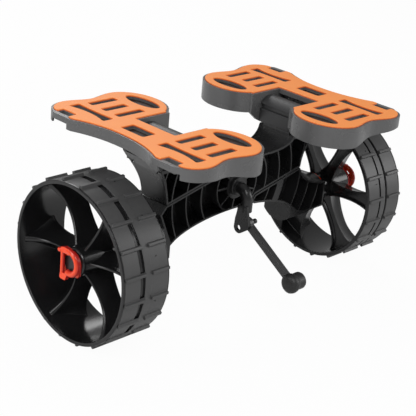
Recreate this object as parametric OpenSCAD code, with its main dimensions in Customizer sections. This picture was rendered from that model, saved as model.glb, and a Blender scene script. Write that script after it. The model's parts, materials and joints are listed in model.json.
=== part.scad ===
// Two wheeled cart for carrying a kayak or canoe: a frame of two crossed halves,
// two wheels with soft treads, two tilting hull pads and a folding prop stand.
// The origin is on the floor, at the centre of the footprint. X runs along the axle,
// the stand is on the -Y side, Z is up. Millimetres and degrees.

/* [Wheels] */
// Diameter over the tread lugs
wheel_d = 250; // [240:1:256]
// Width of a wheel
wheel_w = 84; // [78:1:88]
// Distance between the outer faces of the two wheels
track = 609; // [606:1:640]
// Height of a lug above its band
lug_h = 4; // [2:0.5:6]
// Width of a lug
lug_w = 5; // [3:0.5:9]
// Lugs round each band
lug_n = 20; // [14:1:26]
// Thickness of the soft band under the lugs
band_t = 2.5; // [1.5:0.25:4]
// Wall of the rim drum
rim_wall = 3.5; // [2.5:0.25:5]
// Spokes in each wheel
spoke_n = 6; // [5:1:7]
// Wall of a hollow spoke
spoke_wall = 3; // [2:0.25:4]
// Outer diameter of the wheel hub
hub_d = 44; // [40:1:48]

/* [Axle and clip] */
// Diameter of the axle stub that a wheel turns on
stub_d = 24; // [20:0.5:26]
// Running clearance between the stub and its bush, on the radius
stub_gap = 0.05; // [0.03:0.01:0.1]
// Wall of the bush
bush_wall = 3; // [2:0.25:4]
// Diameter of the bush flange
flange_d = 52; // [48:1:56]
// Thickness of the bush flange
flange_t = 2.5; // [1.5:0.25:3.5]
// Thickness of the wheel clip
clip_t = 5; // [4:0.25:6]
// Outer diameter of the clip arch
clip_d = 50; // [46:1:54]
// Depth of the clip groove in the stub
groove_depth = 2.5; // [1.5:0.25:3]

/* [Frame] */
// Depth of the frame from front to back
frame_depth = 56; // [50:1:60]
// Height of the locking boss above the axle
boss_h = 62; // [58:1:66]
// Angle that the crossing beams make with the axle
beam_tilt = 13.2; // [11:0.2:15]
// Half of a beam's width
beam_half = 33.4; // [31:0.2:36]
// Thickness of the rims round the frame's pockets
rim_t = 3; // [2.5:0.25:4]
// Thickness of the curved ribs
rib_t = 2.4; // [1.8:0.2:3.5]
// Thickness of each half's web
web_t = 4; // [3:0.25:6]
// Gap between the two halves where their beams cross
parting = 1.2; // [0.8:0.1:2]
// Radius of the disc that the halves meet on
disc_r = 50; // [47:0.5:52]
// Radius of the barrel that carries a stub, at its big end
barrel_r = 38; // [36:0.5:40]
// Radius of the barrel beside the wheel
barrel_end_r = 27; // [25:0.5:29]
// Radius of the boss bore that the lock spigot fills
bore_r = 14; // [12:0.5:16]

/* [Pads] */
// Height of the hull pads' top face above the axle
pad_top = 177.7; // [174:0.5:190]
// Distance from the middle of the cart to each pad's hinge
hinge_x = 150; // [147:1:156]
// Thickness of the soft pad skin
skin_t = 6; // [4:0.5:7]
// Thickness of the tray plate under the skin
plate_t = 3.5; // [3:0.25:5]
// Thickness of the tray walls
tray_wall = 3; // [2.5:0.25:4]
// Width of the tray rim that shows round the skin
tray_lip = 3.5; // [3:0.25:5]
// How far the skin stands above the tray rim
skin_proud = 2; // [1:0.25:3]
// Depth of the cut-outs below the skin
recess = 1.5; // [0.5:0.25:2]
// Half width of the notch over the hinge
notch_half = 43; // [41:0.5:46]
// Length of a strap slot
strap_slot_l = 26; // [22:1:28]
// Width of a strap slot
strap_slot_w = 10; // [8:0.5:10]

/* [Pad hinge] */
// Height of the hinge axis below the pad's top face
hinge_drop = 38.2; // [38:0.2:42]
// Diameter of the hinge pin
pin_d = 12; // [8:0.5:14]
// Radius of the hinge cap
cap_r = 27; // [25:0.5:28]
// Width of the hinge block
block_w = 52; // [48:1:52]
// Side clearance between the block and the cheeks
cheek_gap = 0.4; // [0.3:0.1:1]
// Diameter of the hinge screws
screw_d = 5; // [4:0.5:6]

/* [Stand] */
// Distance from the stand's pivot to the middle of its foot
leg_l = 118; // [105:1:121]
// Angle of the leg below level as it is shown
leg_angle = 31; // [25:1:45]
// Angle that the leg folds up from rest
fold_up = 69; // [60:1:69]
// Thickness of the leg along its pivot
leg_t = 8.5; // [7:0.5:9]
// Height of the leg bar
leg_h = 11; // [9:0.5:13]
// Diameter of the foot roller
foot_d = 27; // [24:0.5:27]
// Length of the foot roller
foot_l = 30; // [26:1:36]
// Width of the bracket that carries the leg
arm_w = 18; // [18:0.5:22]
// Diameter of the stand's pivot pin
pivot_d = 7; // [5:0.5:8]

/* [Hidden] */
$fn = 72;

black = [0.09, 0.09, 0.1];
soft_black = [0.13, 0.13, 0.14];
tray_grey = [0.22, 0.22, 0.23];
orange = [1, 0.45, 0.13];
red_orange = [0.95, 0.22, 0.08];
steel = [0.7, 0.71, 0.73];

// Small clearances and overlaps
fit = 0.15;      // between pieces of one body that are pressed or screwed together
over = 1;        // how far a cutting tool runs past a face
touch = 0.4;     // axial play of a wheel on its stub

// Wheel radii and places across the wheel
lug_r = wheel_d / 2;
band_r = lug_r - lug_h;
drum_r = band_r - band_t;
rim_in = drum_r - rim_wall;
edge_t = 3;
groove_from = 0.36 * wheel_w;
rib_from = 0.46 * wheel_w;
rib_to = 0.6 * wheel_w;
lug_phase = [7.6, 11.4];
spoke_phase = [-4.2, 25.8];
spoke_back = wheel_w - 22;
hub_from = 10;
hub_to = wheel_w - 1.4;
hub_r = hub_d / 2;

// Places along the axle, for the +X side
outer_x = track / 2;
inner_x = outer_x - wheel_w;
hub_out_x = outer_x - hub_from;
stub_r = stub_d / 2;
bush_in = stub_r + stub_gap;
bush_out = bush_in + bush_wall;
flange_x = outer_x - hub_to;
barrel_end_x = flange_x - flange_t - touch;
groove_r = stub_r - groove_depth;
clip_gap = 0.2;
clip_in_x = hub_out_x + touch;
groove_in_x = clip_in_x - clip_gap;
groove_out_x = clip_in_x + clip_t + clip_gap;
stub_end_x = groove_out_x + 4;

// Frame
depth_half = frame_depth / 2;
step_r = disc_r + 2;
corner_x = 147.6;
tail_x = 158.5;
saddle_top = 125;
saddle_t = 8;
saddle_in = hinge_x - 41;
saddle_out = hinge_x + 34;
saddle_rise = 12;
saddle_half = 36;

// Pads
pad_len = 158;
axis_z = pad_top - hinge_drop;
plate_top = pad_top - skin_t;
plate_low = plate_top - plate_t;
rim_top = pad_top - skin_proud;
cheek_low = pad_top - 53.5;
cheek_in = notch_half - tray_lip;
cheek_t = 5;
strap_x = 221;
strap_y = 101;
strap_skirt = 11;
block_half = cheek_in - cheek_gap;
block_in = 30;
block_low = saddle_top + 3;
block_top = axis_z + 7.5;
groove_top = block_top + 4;
pin_r = pin_d / 2;
screw_dx = 18;
screw_dy = 26;
screw_end = saddle_top - 7;
screw_head = 158;

// Stand
pivot_y = -depth_half - 30;
pivot_z = 9;
pivot_r = pivot_d / 2;
lug_t = 4.5;
eye_room = 16;
leg_room = 1;
foot_y = pivot_y - leg_l * cos(leg_angle);
foot_z = pivot_z - leg_l * sin(leg_angle);
lug_half = lug_w / 2 - 0.5;
axle_z = -min([for (p = lug_phase, i = [0:lug_n - 1], s = [-1, 1])
    let (a = p + i * 360 / lug_n) lug_r * sin(a) + s * lug_half * cos(a)]);
front_y = foot_y - foot_d / 2;
rear_y = pad_len + tray_lip;
y_shift = -(front_y + rear_y) / 2;

// Helpers for outlines
function arc(cx, cy, rx, ry, a, b, n) =
    [for (i = [0:n]) let (t = a + (b - a) * i / n) [cx + rx * cos(t), cy + ry * sin(t)]];
function flip_y(p) = [for (i = [len(p) - 1:-1:0]) [p[i][0], -p[i][1]]];
function edge_normal(a, b) = let (d = b - a, l = norm(d)) [-d[1] / l, d[0] / l];
function inset(p, d) = let (n = len(p)) [for (i = [0:n - 1])
    let (u = edge_normal(p[(i + n - 1) % n], p[i]), v = edge_normal(p[i], p[(i + 1) % n]))
    p[i] + d * (u + v) / max(1 + u * v, 0.35)];

// Moves from the axle's centre to the footprint's origin
module placed() translate([0, y_shift, axle_z]) children();
// Turns Z to run along X, X to Y and Y to Z
module along_x() rotate([90, 0, 90]) children();
// Stands an outline in X and Z, thick from y0 to y1
module upright(y0, y1) translate([0, y1, 0]) rotate([90, 0, 0]) linear_extrude(y1 - y0) children();
module rod_y(r, y0, y1) translate([0, y1, 0]) rotate([90, 0, 0]) cylinder(r = r, h = y1 - y0);
module rod_x(r, x0, x1) translate([x0, 0, 0]) along_x() cylinder(r = r, h = x1 - x0);
module ring(r, t) difference() {
    circle(r = r + t / 2, $fn = 120);
    circle(r = r - t / 2, $fn = 120);
}

// Wheels. Z runs across the wheel from its -X face.
module lugs(phase) for (i = [0:lug_n - 1])
    rotate(phase + i * 360 / lug_n)
        polygon([[drum_r + 1, -lug_half - 1.5], [lug_r, -lug_half],
            [lug_r, lug_half], [drum_r + 1, lug_half + 1.5]]);

// A soft band from w0 to w1 whose lugs run on to w2, over the groove beside it
module tread(w0, w1, w2, phase) {
    translate([0, 0, w0]) linear_extrude(w1 - w0) difference() {
        union() {
            circle(r = band_r, $fn = 120);
            lugs(phase);
        }
        circle(r = drum_r, $fn = 120);
    }
    if (w2 > w1) translate([0, 0, w1]) linear_extrude(w2 - w1) difference() {
        lugs(phase);
        circle(r = drum_r + 1.5, $fn = 120);
    }
}

module tread_low(phase) tread(edge_t, groove_from, rib_from, phase);
module tread_high(phase) tread(rib_to, wheel_w - edge_t, 0, phase);

module rim() rotate_extrude($fn = 120) polygon([
    [rim_in, 0], [band_r - 1, 0], [band_r, 1], [band_r, edge_t], [drum_r, edge_t],
    [drum_r, rib_from], [band_r, rib_from], [band_r, rib_to], [drum_r, rib_to],
    [drum_r, wheel_w - edge_t], [band_r, wheel_w - edge_t], [band_r, wheel_w - 1],
    [band_r - 1, wheel_w], [rim_in, wheel_w]]);

// Depth of a spoke's ridge below the outer face, at radius r
function ridge(r) = r < 67 ? 31.5 - 8.5 * pow((67 - r) / 42, 2)
    : 31.5 - 19.5 * pow((r - 67) / 46, 2.2);
module spoke_shape(gap, back, half, slope) intersection() {
    rotate([90, 0, 0]) translate([0, 0, -20]) linear_extrude(40)
        polygon(concat([for (i = [0:9]) let (r = hub_r - 4 + i * (rim_in + 1 - hub_r + 4) / 9)
            [r, ridge(r) + gap]], [[rim_in + 1, back], [hub_r - 4, back]]));
    along_x() linear_extrude(rim_in + 2)
        polygon([[-half, 0], [-half - slope * back, back], [half + slope * back, back], [half, 0]]);
}
module spoke() difference() {
    spoke_shape(0, spoke_back, 2, 0.14);
    translate([0, 0, 0.01]) intersection() {
        spoke_shape(spoke_wall + 1, spoke_back + over, 2 - spoke_wall, 0.14);
        translate([hub_r + 3, -20, 0]) cube([rim_in - hub_r - 6, 40, wheel_w]);
    }
}

module wheel_shell(side, phase) difference() {
    union() {
        rim();
        translate([0, 0, side > 0 ? wheel_w : 0]) mirror([0, 0, side > 0 ? 1 : 0]) {
            translate([0, 0, hub_from]) cylinder(r = hub_r, h = hub_to - hub_from);
            for (i = [0:spoke_n - 1])
                rotate(phase + i * 360 / spoke_n) spoke();
        }
    }
    translate([0, 0, -over]) cylinder(r = bush_out, h = wheel_w + 2 * over);
}

module at_wheel(side) translate([side > 0 ? inner_x : -outer_x, 0, 0]) along_x() children();
module wheel_body(side, phase) color(black) placed() at_wheel(side) wheel_shell(side, phase);

module bush(side) color(red_orange) placed() mirror([side > 0 ? 0 : 1, 0, 0]) difference() {
    union() {
        rod_x(bush_out - 0.01, flange_x - 0.5, hub_out_x);
        rod_x(flange_d / 2, flange_x - flange_t, flange_x);
    }
    rod_x(bush_in, flange_x - flange_t - over, hub_out_x + over);
}

// Horseshoe clip that drops over the groove in the stub
module clip(side) color(red_orange) placed() mirror([side > 0 ? 0 : 1, 0, 0])
    translate([clip_in_x, 0, 0]) along_x() difference() {
        union() {
            linear_extrude(clip_t) difference() {
                union() {
                    circle(d = clip_d);
                    translate([-clip_d / 2, -30]) square([clip_d, 30]);
                }
                translate([-groove_r - clip_gap, -40]) square([2 * (groove_r + clip_gap), 40]);
                circle(r = groove_r + clip_gap);
                translate([-clip_d / 2 - over, -30 - over]) rotate(45) square(9, center = true);
                translate([clip_d / 2 + over, -30 - over]) rotate(45) square(9, center = true);
            }
            // Rolled edge of the arch and the pull bar on top
            linear_extrude(clip_t + 3) difference() {
                union() {
                    circle(d = clip_d);
                    translate([-clip_d / 2, -24]) square([clip_d, 24]);
                }
                circle(d = clip_d - 8);
                translate([-clip_d / 2 + 4, -40]) square([clip_d - 8, 40]);
            }
            translate([-11, clip_d / 2 - 5, 0]) cube([22, 9, clip_t + 7]);
        }
        translate([0, clip_d / 2 + 4, clip_t + 7]) rotate([0, 90, 0])
            cylinder(r = 3, h = 40, center = true);
    }

// Frame outlines, in X and Z from the axle's centre, for the half whose disc is in front
function arch(x) = 23.5 - 42 * (1 - sqrt(1 - pow(x / 141, 2)));
function beam_z(x, edge) = boss_h + edge * beam_half / cos(beam_tilt) + x * tan(beam_tilt);
function outer_edge(z) = corner_x + 36.4 * pow(max(z - boss_h, 0) / 77, 1.7);

saddle_low = saddle_top - saddle_t;
saddle_line = [[saddle_out, saddle_top + saddle_rise], [saddle_out - 6, saddle_top + saddle_rise],
    [saddle_out - 13, saddle_top], [saddle_in + 8, saddle_top], [saddle_in + 5, saddle_top + 4],
    [saddle_in + 1, saddle_top + 4]];
arch_line = [for (x = [-134:10:-44]) [x, arch(x)]];
tail_edge = [[-152, 53], [-160, 43], [-172, 34], [-189, 27.5], [-barrel_end_x, 21]];

// Arm sides up to the saddle: whole, or cut off level below it for the pockets
function arm_path(whole) = concat(
    [for (i = [1:5]) let (z = boss_h + i * 11) [outer_edge(z), z]],
    whole ? saddle_line : [],
    arc(57, saddle_top, saddle_in - 56, 22, whole ? 0 : -22, -90, 7));
function front_path(whole) = concat(
    arch_line, [for (x = [-32:12:22]) [x, arch(x)]],
    arc(0, boss_h, disc_r, disc_r, -50, -29, 3),
    [[corner_x, beam_z(corner_x, -1)]], arm_path(whole),
    [[30, beam_z(30, 1)], [-corner_x, beam_z(-corner_x, 1)], [-tail_x, 49], [-141.5, 10]]);
function rear_right_path(whole) = concat(
    [[56, beam_z(-56, 1) + parting], [corner_x, beam_z(-corner_x, 1) + parting]],
    arm_path(whole));
rear_left_path = concat(
    [[-barrel_end_x, -23], [-174, -24], [-154, -21]],
    arch_line,
    arc(0, boss_h, step_r, step_r, 222, 210, 2),
    [[-corner_x, beam_z(-corner_x, 1) - parting]], tail_edge);

module ribs(radii) translate([0, boss_h]) for (r = radii) ring(r, rib_t);
module left_of(x) translate([x - 400, -200]) square([400, 500]);
module right_of(x) translate([x, -200]) square([400, 500]);

module front_pockets() difference() {
    polygon(inset(front_path(false), rim_t));
    intersection() { ribs([77, 108, 136]); left_of(-20); }
    intersection() { ribs([66, 96, 124.5]); right_of(20); }
    ribs([43]);
    translate([0, boss_h]) circle(r = bore_r + 7.4);
    for (a = [20:40:340])
        translate([0, boss_h]) rotate(a) translate([bore_r, -rib_t / 2]) square([43 - bore_r, rib_t]);
    // Inner branch of the arm's fork
    polygon([[149, 88], [151, 86], [155, 104], [148, 121], [145.5, 121], [152.3, 104]]);
}

module rear_left_pockets() difference() {
    polygon(inset(rear_left_path, rim_t));
    ribs([79, 150, 176.5, 204.7]);
    translate([0, boss_h]) difference() {
        circle(r = 111);
        circle(r = 97);
    }
}

module rear_right_pockets() difference() {
    polygon(inset(rear_right_path(false), rim_t));
    ribs([79, 108, 137.5]);
    polygon([[149, 88], [151, 86], [155, 104], [148, 121], [145.5, 121], [152.3, 104]]);
}

module barrel() intersection() {
    along_x() mirror([0, 0, 1]) rotate_extrude() polygon([
        [0, 134], [barrel_r, 134], [barrel_r, 182], [barrel_end_r + 3, 198], [barrel_end_r, 206],
        [barrel_end_r, barrel_end_x], [0, barrel_end_x]]);
    translate([-barrel_end_x, -60, -60]) cube([barrel_end_x, 60 + depth_half, 120]);
}

module stub() {
    rod_x(stub_r, -stub_end_x + 1, -barrel_end_x + 2);
    rod_x(stub_r - 1, -stub_end_x, -stub_end_x + 2);
}

module frame_half() difference() {
    union() {
        difference() {
            union() {
                upright(-depth_half, -fit / 2) polygon(front_path(true));
                upright(-fit / 2, depth_half) polygon(rear_left_path);
                upright(-fit / 2, depth_half) polygon(rear_right_path(true));
                barrel();
            }
            upright(-depth_half - over, -web_t) front_pockets();
            upright(web_t, depth_half + over) rear_left_pockets();
            upright(web_t, depth_half + over) rear_right_pockets();
        }
        // Saddle flared on both sides towards the hinge block
        for (s = [0, 1]) mirror([0, s, 0]) translate([0, 0, saddle_low]) linear_extrude(saddle_t)
            polygon([[saddle_in + 10, depth_half - 1], [saddle_out - 12, depth_half - 1],
                [saddle_out - 14, saddle_half], [saddle_in + 14, saddle_half]]);
        stub();
    }
    translate([0, 0, boss_h]) rod_y(bore_r + fit, -depth_half - over, depth_half);
    difference() {
        rod_x(stub_r + over, -groove_out_x, -groove_in_x);
        rod_x(groove_r, -groove_out_x, -groove_in_x);
    }
    for (x = [-1, 1], y = [-1, 1])
        translate([hinge_x + x * screw_dx, y * screw_dy, screw_end - 1])
            cylinder(d = screw_d + 2 * fit, h = 40);
}

module frame_front() color(black) placed() frame_half();
module frame_rear() color(black) placed() rotate(180) frame_half();

// Pads, drawn for the +X side and turned half round for the other
waist_out = [for (i = [1:6]) let (v = i * 13) [215 + 19 * pow(v / 88, 2.2), v]];
strap_corner = [[235, 90], [235, strap_y - 2], [strap_x - 2, strap_y - 2],
    [strap_x - 2, strap_y + strap_slot_l + 2], [230.5, strap_y + strap_slot_l + 2]];
pad_corner = arc(199, 130, 32, 28, 10, 90, 8);
end_wave = [for (i = [1:6]) let (p = 199 - i * 7.6) [p, 152.6 + 5.4 * cos(180 * (199 - p) / 45.6)]];
end_wave_in = [for (i = [1:4]) let (p = 153.4 - i * 9) [p, 151.2 - 4 * cos(180 * (153.4 - p) / 41)]];
inner_end = arc(112, 98.5, 46, 57, 90, 247, 16);
skin_upper = concat(waist_out, strap_corner, pad_corner, end_wave, end_wave_in, inner_end,
    [[94, notch_half], [156, notch_half]]);
skin_outline = concat([[215, 0]], skin_upper, [[156, 0]], flip_y(skin_upper));
tray_upper = concat(waist_out, [[235, 90], [235, 128]], pad_corner, end_wave, end_wave_in,
    inner_end, [[94, notch_half], [156, notch_half]]);
tray_path = concat([[215, 0]], tray_upper, [[156, 0]], flip_y(tray_upper));
tray_outline = inset(tray_path, -tray_lip);

module pad_windows() {
    for (s = [-1, 1]) {
        translate([94.5, s * 96]) polygon(arc(0, 0, 14.5, 35.5, 0, 352.5, 47));
        translate([121, s * 65.5 - 5]) square([51, 10]);
        translate([127, s * 96 - 5]) square([45, 10]);
        translate([121, s * 127 - 5]) square([51, 10]);
        polygon(concat([[188, s * 57]],
            [for (i = [0:8]) let (v = 57 + i * 10, q = (v - 97) / 40) [196.5 + 6 * q * q, s * v]],
            [[188, s * 137]]));
    }
    translate([176, -23]) square([23, 46]);
}

// Depth of the tray wall below the pad's top face, cut as a profile in X and Z
module skirt_cut() upright(-pad_len - 20, pad_len + 20) polygon([
    [40, pad_top - 34], [109, pad_top - 34], [140, pad_top - 29], [176, pad_top - 23.5],
    [205, pad_top - 20], [260, pad_top - 18.5], [260, 60], [40, 60]]);
module cheek() polygon([
    [86, pad_top - 30], [93, pad_top - 37], [105, pad_top - 47], [118, cheek_low],
    [2 * hinge_x - 118, cheek_low], [2 * hinge_x - 105, pad_top - 47],
    [2 * hinge_x - 93, pad_top - 30], [2 * hinge_x - 93, plate_low + 1], [86, plate_low + 1]]);

module tray() difference() {
    union() {
        difference() {
            translate([0, 0, pad_top - 36]) linear_extrude(rim_top - pad_top + 36)
                polygon(tray_outline);
            translate([0, 0, plate_top]) linear_extrude(skin_t)
                polygon(inset(skin_outline, -fit));
            translate([0, 0, 60]) linear_extrude(plate_low - 60)
                polygon(inset(tray_outline, tray_wall));
            skirt_cut();
            translate([hinge_x - 40, -cheek_in, 60]) cube([80, 2 * cheek_in, plate_low - 60]);
        }
        // Cheeks that carry the hinge pin, stiffening ribs and the edges of the strap slots
        for (s = [-1, 1]) {
            mirror([0, s > 0 ? 0 : 1, 0]) upright(cheek_in, cheek_in + cheek_t) cheek();
            translate([hinge_x, s > 0 ? cheek_in : -cheek_in - 14, axis_z]) rod_y(pin_r + 5, 0, 14);
            for (v = [80, 112])
                translate([70, s * v - 1, pad_top - 22]) cube([150, 2, 22 - skin_t - plate_t + 1]);
        }
    }
    translate([hinge_x, 0, axis_z]) rod_y(pin_r + 0.02, -cheek_in - 12, cheek_in + 12);
    translate([0, 0, plate_top - recess]) linear_extrude(20) pad_windows();
    for (s = [0, 1]) mirror([0, s, 0]) {
        translate([strap_x, strap_y, 60]) cube([strap_slot_w, strap_slot_l, 200]);
        // The skirt is shallow where a strap passes
        translate([strap_x + 4, strap_y - 3, 60])
            cube([60, strap_slot_l + 13, pad_top - strap_skirt - 60]);
    }
}

module skin() translate([0, 0, plate_top]) linear_extrude(skin_t) difference() {
    polygon(skin_outline);
    pad_windows();
}

module pad_side(side) placed() rotate(side > 0 ? 0 : 180) children();
module pad_tray(side) color(tray_grey) pad_side(side) tray();
module pad_skin(side) color(orange) pad_side(side) skin();
module hinge_pin(side) color(steel) pad_side(side)
    translate([hinge_x, 0, axis_z]) rod_y(pin_r, -cheek_in - 12, cheek_in + 12);

module screw_holes(d, z0, z1) for (x = [-1, 1], y = [-1, 1])
    translate([hinge_x + x * screw_dx, y * screw_dy, z0]) cylinder(d = d, h = z1 - z0);

module hinge_block(side) color(soft_black) pad_side(side) difference() {
    union() {
        translate([hinge_x - block_in, -block_half, block_low])
            cube([block_w, 2 * block_half, block_top - block_low]);
        translate([hinge_x - 19, -saddle_half + 2, saddle_top])
            cube([38, 2 * saddle_half - 4, block_low - saddle_top + 1]);
    }
    translate([hinge_x, 0, axis_z]) rod_y(pin_r + 0.05, -block_half - over, block_half + over);
    screw_holes(screw_d + 2 * fit, saddle_top - over, block_top + over);
}

module hinge_cap(side) color(soft_black) pad_side(side) difference() {
    union() {
        intersection() {
            translate([hinge_x, 0, axis_z]) rod_y(cap_r, -block_half, block_half);
            translate([hinge_x - cap_r, -block_half, groove_top]) cube([2 * cap_r, 2 * block_half, 60]);
        }
        translate([hinge_x - cap_r + 3.5, -block_half, block_top])
            cube([2 * cap_r - 7, 2 * block_half, groove_top - block_top + 1]);
    }
    screw_holes(screw_d + 2 * fit, block_top - over, pad_top);
    screw_holes(screw_d + 5, screw_head, pad_top);
}

module hinge_screws(side) color(steel) pad_side(side) {
    screw_holes(screw_d, screw_end, screw_head + 1);
    screw_holes(screw_d + 4, screw_head, screw_head + 3);
}

// Stand. The bracket's arm is a swept elbow in Y and Z, its spigot locks both halves.
arm_front = [[-depth_half - 4, boss_h + 14], [-depth_half - 13, boss_h + 9], [-52, 58], [-61, 42],
    [-67, 24], [-69, pivot_z + 4]];
arm_back = [[-51, pivot_z - 8], [-50, 22], [-46, 36], [-40, 45], [-depth_half - 4, 50]];
module in_yz(x0, x1) translate([x0, 0, 0]) along_x() linear_extrude(x1 - x0) children();

module bracket() difference() {
    union() {
        translate([0, 0, boss_h]) {
            rod_y(bore_r + 6, -depth_half - 5, -depth_half - 0.02);
            rod_y(bore_r, -depth_half - 1, depth_half + 1);
            rod_y(bore_r - 5, depth_half, depth_half + 12);
        }
        in_yz(-arm_w / 2, arm_w / 2) polygon(concat(arm_front, arm_back));
        in_yz(-arm_w / 2, arm_w / 2) translate([pivot_y - 1, pivot_z]) circle(r = 12);
        in_yz(-arm_w / 2, -arm_w / 2 + lug_t) translate([pivot_y + 8, pivot_z - 7]) circle(r = 10);
        in_yz(-arm_w / 2 + 2, arm_w / 2 - 2)
            polygon([[-depth_half - 0.5, boss_h + 16], [-depth_half - 6, boss_h + 16],
                [-depth_half - 6, 44], [-depth_half - 0.5, 44]]);
    }
    // Room for the leg's eye beside the lug
    in_yz(-arm_w / 2 + lug_t, arm_w / 2 + over) {
        translate([pivot_y, pivot_z]) circle(r = eye_room);
        translate([pivot_y - eye_room, pivot_z - 40]) square([eye_room + 25, 40]);
        // and for the folded leg
        translate([pivot_y, pivot_z]) rotate(leg_angle - fold_up)
            translate([-leg_l / 2, -leg_h / 2 - leg_room]) square([leg_l / 2, leg_h + 2 * leg_room]);
    }
    translate([0, pivot_y, pivot_z]) rod_x(pivot_r + 0.05, -arm_w, arm_w);
    translate([0, pivot_y + 11, pivot_z - 9]) rod_x(4.5, -arm_w, arm_w);
}
module stand_bracket() color(black) placed() bracket();

module stand_lock_nut() color(black) placed() translate([0, 0, boss_h]) difference() {
    union() {
        rod_y(bore_r + 8, depth_half + 0.02, depth_half + 8);
        for (a = [0:60:300]) rotate([0, a, 0]) translate([0, depth_half + 0.02, 0])
            translate([-4, 0, bore_r + 4]) cube([8, 7.98, 7]);
    }
    rod_y(bore_r - 5 + fit, depth_half - over, depth_half + 20);
    rod_y(bore_r + fit, depth_half - over, depth_half + 1.2);
}

module leg_frame() placed() translate([0, pivot_y, pivot_z]) rotate([leg_angle, 0, 0]) children();
leg_x = -arm_w / 2 + lug_t + 0.3;
module stand_leg() color(black) leg_frame() difference() {
    union() {
        rod_x(10, leg_x, leg_x + leg_t);
        translate([leg_x, -leg_l, -leg_h / 2]) cube([leg_t, leg_l, leg_h]);
        translate([0, -leg_l, 0]) rod_x(9, leg_x, leg_x + leg_t);
    }
    rod_x(pivot_r + 0.02, leg_x - over, leg_x + leg_t + over);
    translate([0, -leg_l, 0]) rod_x(5, leg_x - over, leg_x + leg_t + over);
}

module stand_foot() color(soft_black) leg_frame() translate([leg_x + leg_t / 2, -leg_l, 0])
    difference() {
        along_x() rotate_extrude() polygon([[0, -foot_l / 2], [foot_d / 2 - 3, -foot_l / 2],
            [foot_d / 2 - 0.8, -foot_l / 2 + 1], [foot_d / 2, -foot_l / 2 + 3],
            [foot_d / 2, foot_l / 2 - 3], [foot_d / 2 - 0.8, foot_l / 2 - 1],
            [foot_d / 2 - 3, foot_l / 2], [0, foot_l / 2]]);
        difference() {
            union() {
                rod_x(9 + fit, -leg_t / 2 - fit, leg_t / 2 + fit);
                translate([-leg_t / 2 - fit, 0, -leg_h / 2 - fit])
                    cube([leg_t + 2 * fit, 40, leg_h + 2 * fit]);
            }
            rod_x(5 - fit, -leg_t, leg_t);
        }
    }

module stand_pivot_pin() color(steel) leg_frame() {
    rod_x(pivot_r, -arm_w / 2 - 1.5, leg_x + leg_t + 0.5);
    rod_x(pivot_r + 2.5, leg_x + leg_t + 0.02, leg_x + leg_t + 4);
}

frame_front();  // frame_half_front
frame_rear();  // frame_half_rear
wheel_body(-1, spoke_phase[0]);  // wheel_body_left
wheel_body(1, spoke_phase[1]);  // wheel_body_right
color(soft_black) placed() at_wheel(-1) tread_low(lug_phase[0]);  // tread_outer_left
color(soft_black) placed() at_wheel(-1) tread_high(lug_phase[0]);  // tread_inner_left
color(soft_black) placed() at_wheel(1) tread_high(lug_phase[1]);  // tread_outer_right
color(soft_black) placed() at_wheel(1) tread_low(lug_phase[1]);  // tread_inner_right
bush(-1);  // hub_bush_left
bush(1);  // hub_bush_right
clip(-1);  // wheel_clip_left
clip(1);  // wheel_clip_right
pad_tray(-1);  // pad_tray_left
pad_tray(1);  // pad_tray_right
pad_skin(-1);  // pad_skin_left
pad_skin(1);  // pad_skin_right
hinge_pin(-1);  // hinge_pin_left
hinge_pin(1);  // hinge_pin_right
hinge_block(-1);  // hinge_block_left
hinge_block(1);  // hinge_block_right
hinge_cap(-1);  // hinge_cap_left
hinge_cap(1);  // hinge_cap_right
hinge_screws(-1);  // hinge_screws_left
hinge_screws(1);  // hinge_screws_right
stand_bracket();
stand_lock_nut();
stand_leg();
stand_foot();
stand_pivot_pin();
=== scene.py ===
# %% [markdown]
# # A kayak cart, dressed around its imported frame
# A kayak cart is moulded plastic, with soft rubber where the boat rests. The solids
# come from the frame with their true sizes and joints. This script gives each one its
# finish, and makes again those whose real form is rounder or finer than the solid.
# Blender counts in metres, so a size given in millimetres is multiplied by MM.

# %% Load the frame
import json
from math import asin, cos, degrees, pi, radians, sin, tan

import bmesh
import bpy
from mathutils import Matrix, Vector


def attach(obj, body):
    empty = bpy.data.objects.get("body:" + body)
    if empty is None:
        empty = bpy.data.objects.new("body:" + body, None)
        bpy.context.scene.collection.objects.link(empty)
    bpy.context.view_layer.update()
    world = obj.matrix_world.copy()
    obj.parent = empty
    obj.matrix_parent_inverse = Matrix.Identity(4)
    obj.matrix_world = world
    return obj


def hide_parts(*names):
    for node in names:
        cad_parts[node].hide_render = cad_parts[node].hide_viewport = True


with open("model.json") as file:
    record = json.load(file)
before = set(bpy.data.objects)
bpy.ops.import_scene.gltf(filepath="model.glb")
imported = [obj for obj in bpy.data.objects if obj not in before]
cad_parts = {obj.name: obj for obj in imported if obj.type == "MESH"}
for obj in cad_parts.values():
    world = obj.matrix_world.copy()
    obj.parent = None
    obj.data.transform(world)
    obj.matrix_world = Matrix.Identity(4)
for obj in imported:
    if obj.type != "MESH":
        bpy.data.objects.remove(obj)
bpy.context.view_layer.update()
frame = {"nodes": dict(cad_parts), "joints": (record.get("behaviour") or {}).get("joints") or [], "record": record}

nodes = frame["nodes"]
MM = 0.001

# %% [markdown]
# ## Where things are
# All sizes below are measured from the middle of the axle: x to the right, y to the
# rear and z up. The axle's own place is read from a wheel's joint, so every piece still
# lands on the frame when its origin moves. A side is a sign, which turns a size round.

# %% The axle
WHEEL_JOINT = next(j for j in frame["joints"] if j["name"] == "wheel_left_spin")
AXLE = Vector((0, *WHEEL_JOINT["pos_m"][1:]))
SIDES = {"left": -1, "right": 1}
print("axle centre:", [round(v, 4) for v in AXLE])


# %% A new object
def placed(name, data):
    """An object in the scene that shows this mesh, lamp, camera or curve."""
    made = bpy.data.objects.new(name, data)
    bpy.context.scene.collection.objects.link(made)
    return made


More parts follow.
